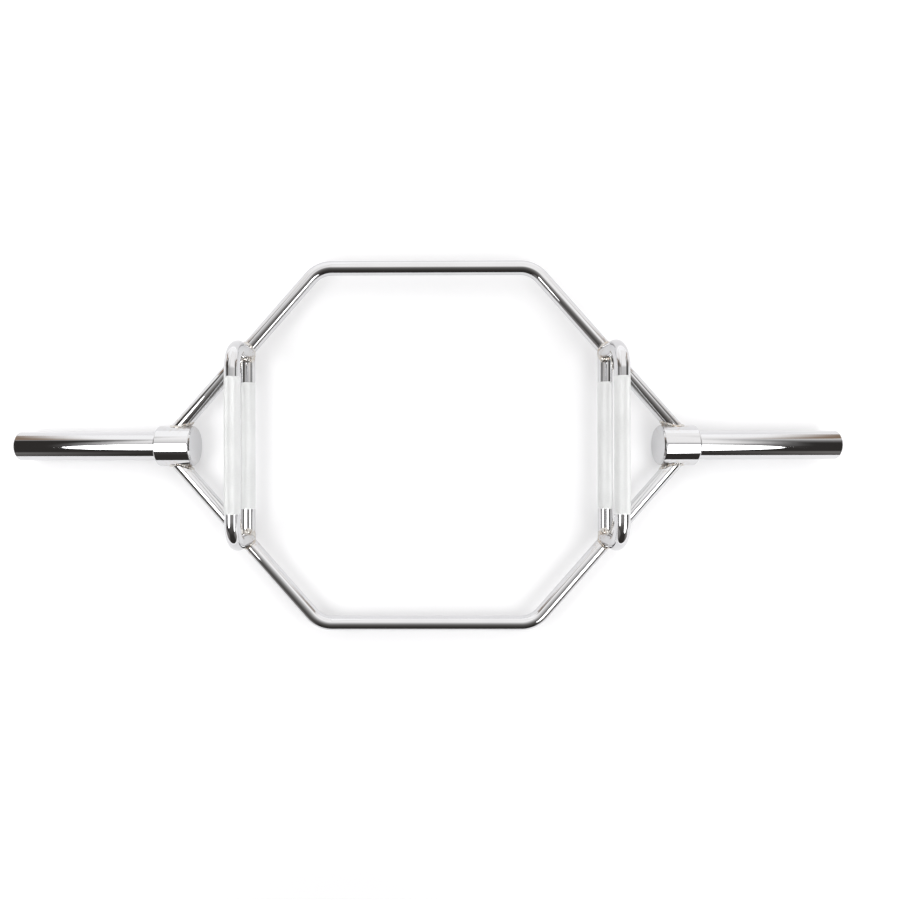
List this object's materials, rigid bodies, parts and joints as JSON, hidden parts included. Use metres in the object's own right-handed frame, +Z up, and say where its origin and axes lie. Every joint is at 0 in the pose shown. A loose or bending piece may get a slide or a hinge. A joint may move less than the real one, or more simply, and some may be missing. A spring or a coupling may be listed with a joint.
{
  "type": "hex trap bar",
  "caption": "Six-sided chrome lifting bar that the lifter stands inside, with plate sleeves on both sides and low and high knurled handles.",
  "frame": {"origin": "midway between the sleeves, on the floor under the two hubs", "axes": "+X along the sleeve axis to the right, +Y to the rear, +Z up towards the high handles"},
  "size_m": [1.42, 0.645, 0.1426],
  "materials": {
    "polished_chrome": "bright chrome plate on round steel bar",
    "handle_chrome": "chrome plate, diamond-knurled grip between bright ends",
    "weld_chrome": "chrome plate over rippled weld, with a faint straw tint"
  },
  "bodies": {
    "root": {"front_frame_bar": "polished_chrome", "rear_frame_bar": "polished_chrome", "left_hub": "polished_chrome", "left_sleeve": "polished_chrome", "left_end_disc": "polished_chrome", "right_hub": "polished_chrome", "right_sleeve": "polished_chrome", "right_end_disc": "polished_chrome", "left_low_handle": "handle_chrome", "left_high_handle": "handle_chrome", "right_low_handle": "handle_chrome", "right_high_handle": "handle_chrome", "left_sleeve_weld": "weld_chrome", "left_front_hub_weld": "weld_chrome", "left_front_low_handle_weld": "weld_chrome", "left_front_high_handle_weld": "weld_chrome", "left_rear_hub_weld": "weld_chrome", "left_rear_low_handle_weld": "weld_chrome", "left_rear_high_handle_weld": "weld_chrome", "right_sleeve_weld": "weld_chrome", "right_front_hub_weld": "weld_chrome", "right_front_low_handle_weld": "weld_chrome", "right_front_high_handle_weld": "weld_chrome", "right_rear_hub_weld": "weld_chrome", "right_rear_low_handle_weld": "weld_chrome", "right_rear_high_handle_weld": "weld_chrome"}
  },
  "joints": []
}
